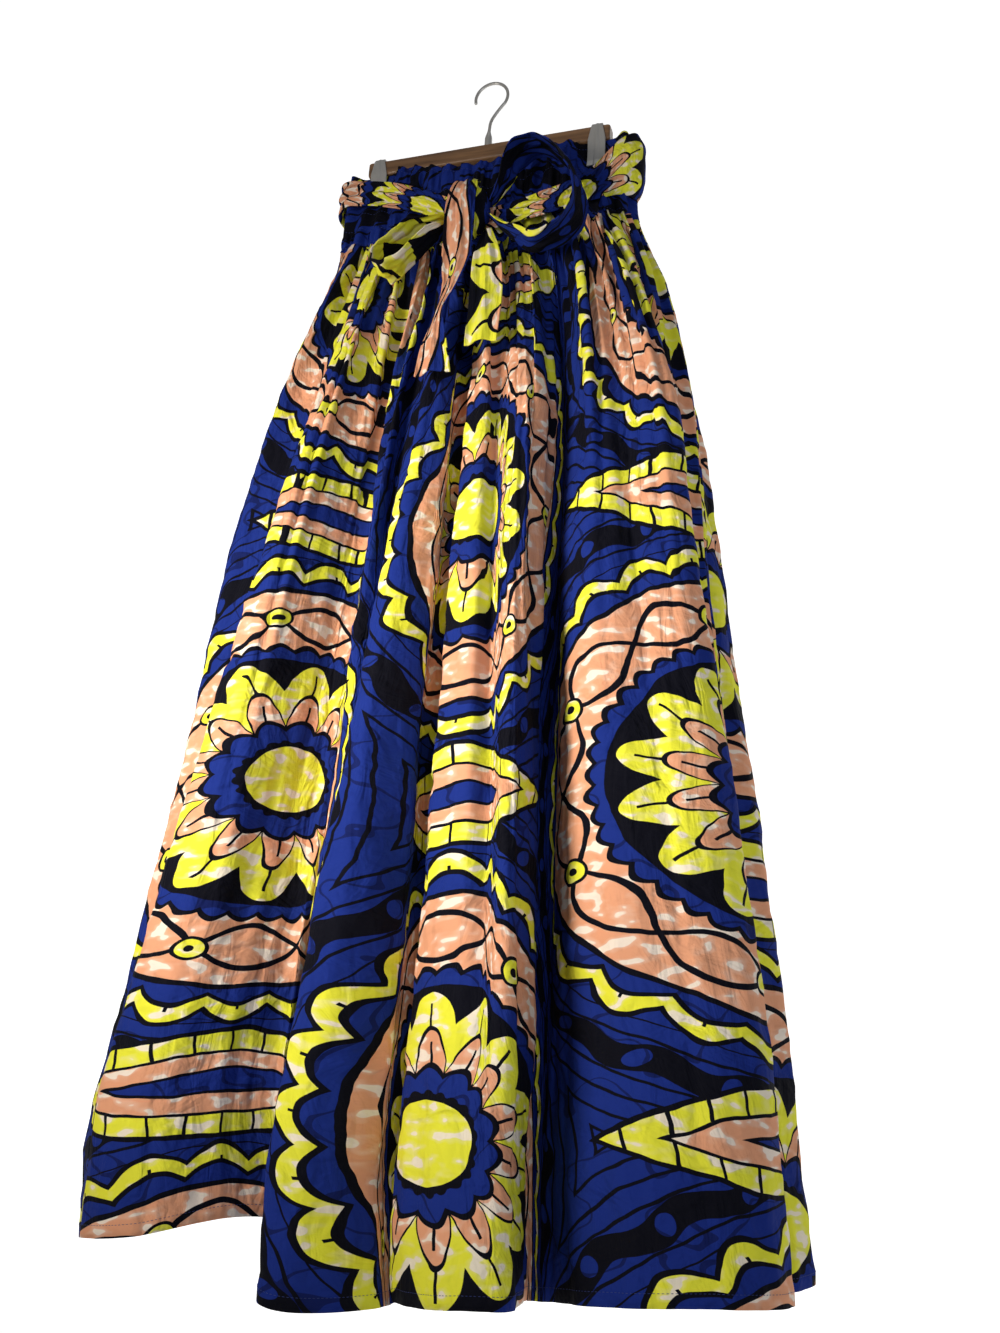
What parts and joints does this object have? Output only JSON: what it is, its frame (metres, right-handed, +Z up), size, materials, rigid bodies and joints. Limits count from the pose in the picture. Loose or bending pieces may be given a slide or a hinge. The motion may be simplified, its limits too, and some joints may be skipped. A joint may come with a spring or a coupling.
{
  "type": "maxi skirt on a clip hanger",
  "caption": "Full-length gathered skirt with an elastic casing and a sash tied in a front bow, held at both waist corners by spring clips on a wooden bar hanger.",
  "frame": {"origin": "inside top of the hanger's hook, where it rests on a rod", "axes": "+Z up, front of the skirt faces -Y, +X to the right as seen from the front"},
  "size_m": [0.5849, 0.3317, 1.1516],
  "materials": {
    "skirt_cloth": "matt printed cotton",
    "waist_cloth": "matt printed cotton, gathered",
    "sash_cloth": "matt printed cotton",
    "bar_wood": "satin varnish",
    "hanger_metal": "polished"
  },
  "bodies": {
    "root": {"skirt_front": "skirt_cloth", "skirt_back": "skirt_cloth", "waistband_front": "waist_cloth", "waistband_back": "waist_cloth", "sash": "sash_cloth", "bow_knot": "sash_cloth", "bow_loop_left": "sash_cloth", "bow_loop_right": "sash_cloth", "bow_tail_left": "sash_cloth", "bow_tail_right": "sash_cloth", "hanger_bar": "bar_wood", "hanger_hook": "hanger_metal", "clip_left": "hanger_metal", "clip_right": "hanger_metal"}
  },
  "joints": []
}
